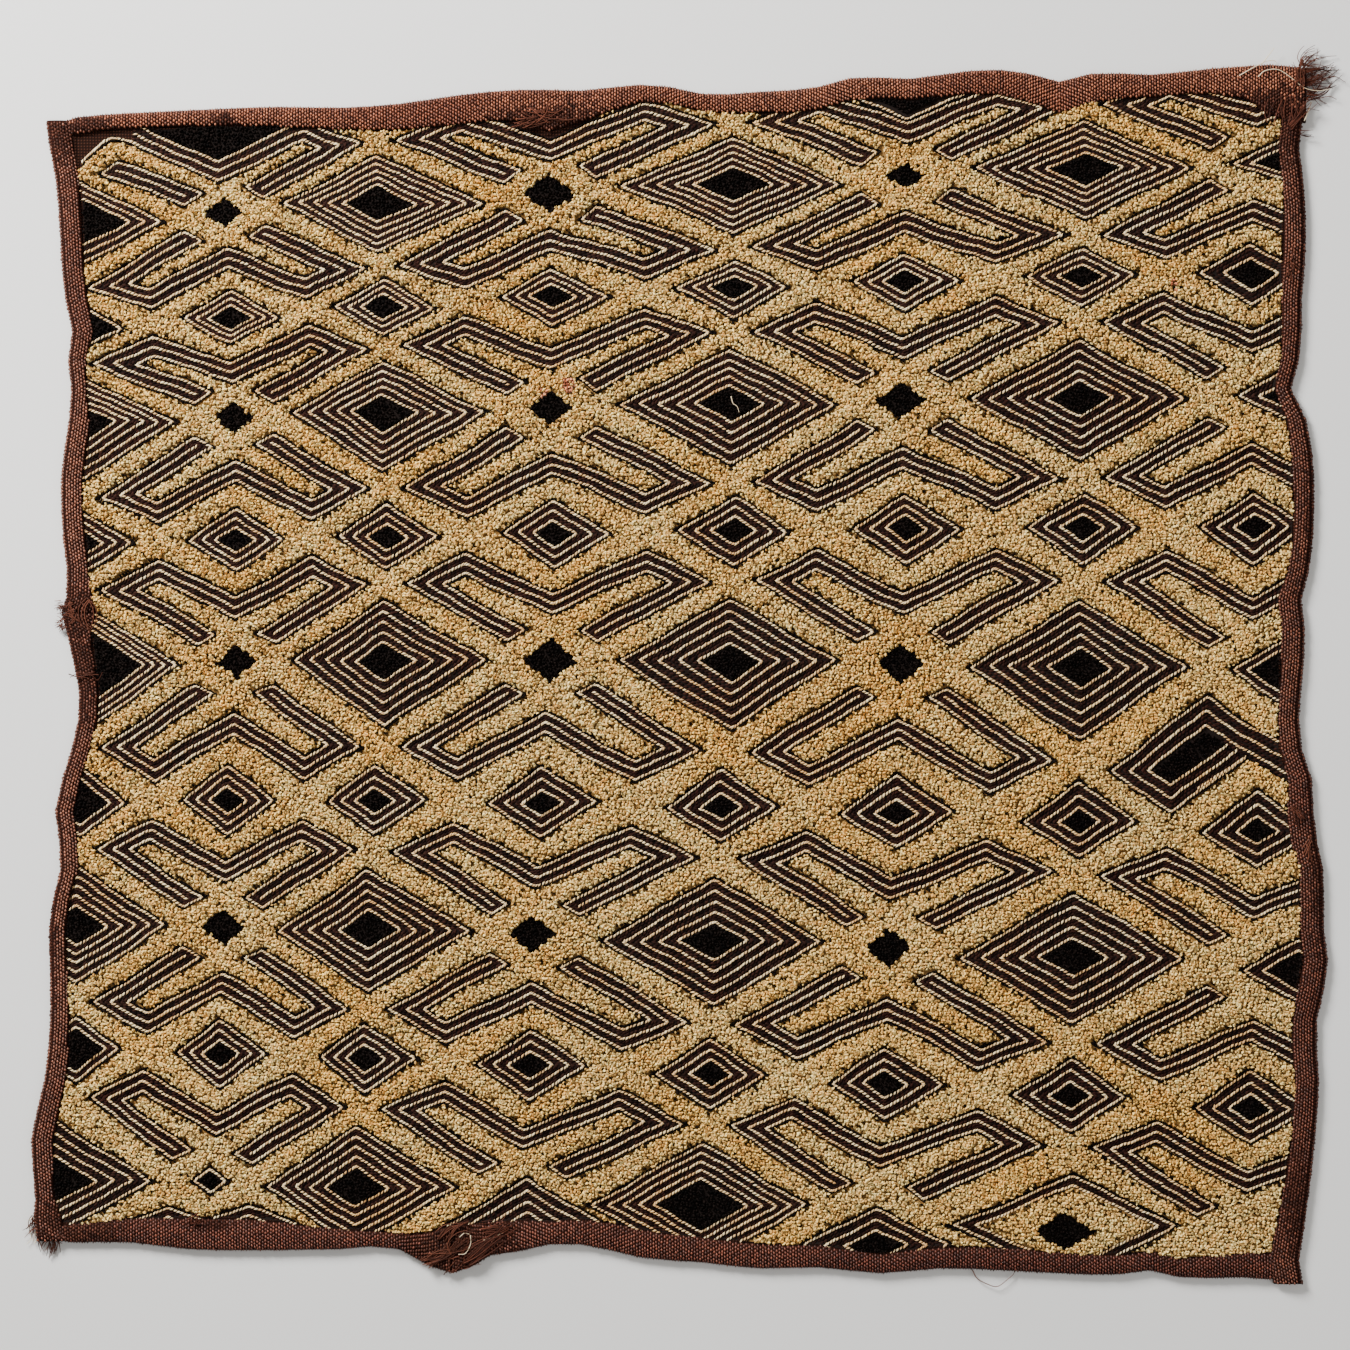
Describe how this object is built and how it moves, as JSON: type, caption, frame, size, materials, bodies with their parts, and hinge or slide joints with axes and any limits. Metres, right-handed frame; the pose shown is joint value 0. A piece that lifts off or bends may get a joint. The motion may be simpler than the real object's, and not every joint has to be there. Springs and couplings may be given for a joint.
{
  "type": "embroidered raffia cloth",
  "caption": "Flat rectangular raffia cloth of cut-pile and stem-stitch lozenges and folded bows, with reddish woven strips folded and sewn over its uneven edges.",
  "frame": {"origin": "under the middle of the cloth's outer box, on the surface that it lies on", "axes": "+X across the cloth to its right, +Y to its top, +Z out of its face"},
  "size_m": [0.623, 0.5824, 0.0039],
  "materials": {
    "embroidered_raffia": "cut pile, matt",
    "binding_top": "plain weave, matt",
    "binding_right": "plain weave, matt",
    "binding_bottom_left": "plain weave, matt",
    "binding_bottom_right": "plain weave, matt",
    "binding_left_upper": "plain weave, matt",
    "binding_left_lower": "plain weave, matt",
    "frayed_raffia": "loose fibres, matt"
  },
  "bodies": {
    "root": {"panel": "embroidered_raffia", "binding_top": "binding_top", "binding_right": "binding_right", "binding_bottom_left": "binding_bottom_left", "binding_bottom_right": "binding_bottom_right", "binding_left_upper": "binding_left_upper", "binding_left_lower": "binding_left_lower", "fray_top_right": "frayed_raffia", "fray_bottom_left": "frayed_raffia"}
  },
  "joints": []
}
